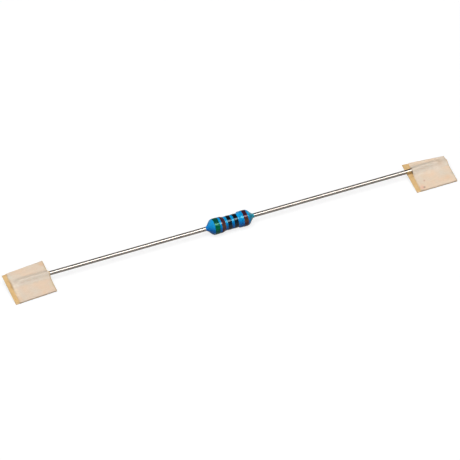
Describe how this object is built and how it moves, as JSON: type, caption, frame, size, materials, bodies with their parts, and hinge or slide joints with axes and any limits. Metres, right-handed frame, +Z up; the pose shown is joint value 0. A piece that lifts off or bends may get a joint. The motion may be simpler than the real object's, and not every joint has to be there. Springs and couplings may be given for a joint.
{
  "type": "axial resistor",
  "caption": "Axial metal film resistor: blue lacquered dog-bone body with colour bands, straight tinned leads, and a cut piece of carrier tape on each lead end.",
  "frame": {"origin": "middle of the resistor body, on the axis of the leads", "axes": "+X along the leads towards the end with the set-apart band, +Z up from the surface it lies on, +Y away from the long side of the tape tabs"},
  "size_m": [0.0644, 0.0059, 0.0022],
  "materials": {
    "core_ceramic": "matt fired alumina",
    "film_alloy": "thin dull grey alloy film",
    "cap_steel": "plated pressed steel",
    "lead_tin": "bright tin plate over copper wire",
    "lacquer_blue": "glossy dipped epoxy lacquer",
    "ink_green": "glossy printed ink",
    "ink_brown": "glossy printed ink",
    "ink_black": "glossy printed ink",
    "tape_back": "paper tape, glue side up",
    "tape_front": "thin crepe paper tape"
  },
  "bodies": {
    "root": {"ceramic_core": "core_ceramic", "metal_film": "film_alloy", "cap_left": "cap_steel", "cap_right": "cap_steel", "lead_left": "lead_tin", "lead_right": "lead_tin", "coating": "lacquer_blue", "band_1_green": "ink_green", "band_2_brown": "ink_brown", "band_3_black": "ink_black", "band_4_black": "ink_black", "band_5_brown": "ink_brown", "tape_left_back": "tape_back", "tape_left_front": "tape_front", "tape_right_back": "tape_back", "tape_right_front": "tape_front"}
  },
  "joints": []
}
